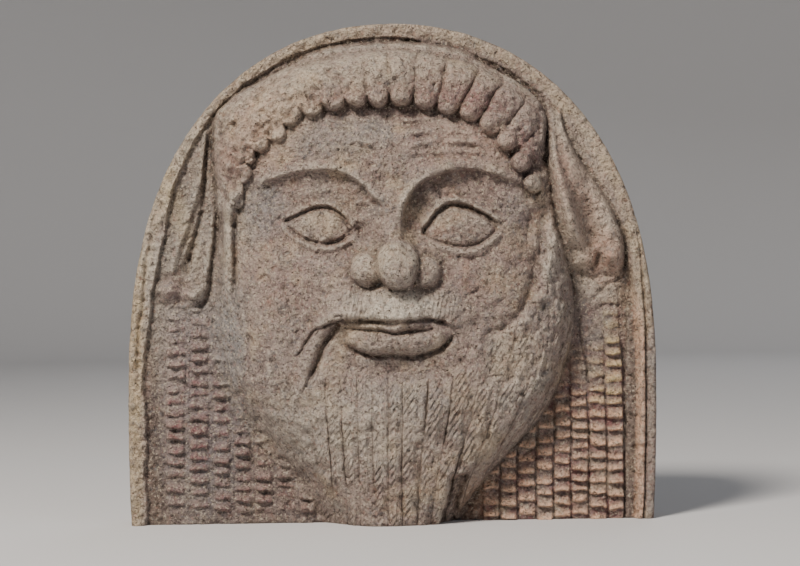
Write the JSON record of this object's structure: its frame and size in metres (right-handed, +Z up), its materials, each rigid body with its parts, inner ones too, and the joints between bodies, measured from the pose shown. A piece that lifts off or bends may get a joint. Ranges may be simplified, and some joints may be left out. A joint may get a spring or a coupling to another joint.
{
  "type": "antefix",
  "caption": "Round-topped terracotta roof antefix with the bearded head of a horse-eared silen in high relief, inside a raised rim; stands on its flat foot.",
  "frame": {"origin": "middle of the foot, halfway between the back face and the tip of the nose", "axes": "+X to the viewer's right, -Y out of the face towards the viewer, +Z up"},
  "size_m": [0.222, 0.0672, 0.2096],
  "materials": {
    "fired_clay": "matt sandy terracotta"
  },
  "bodies": {
    "root": {"antefix": "fired_clay"}
  },
  "joints": []
}
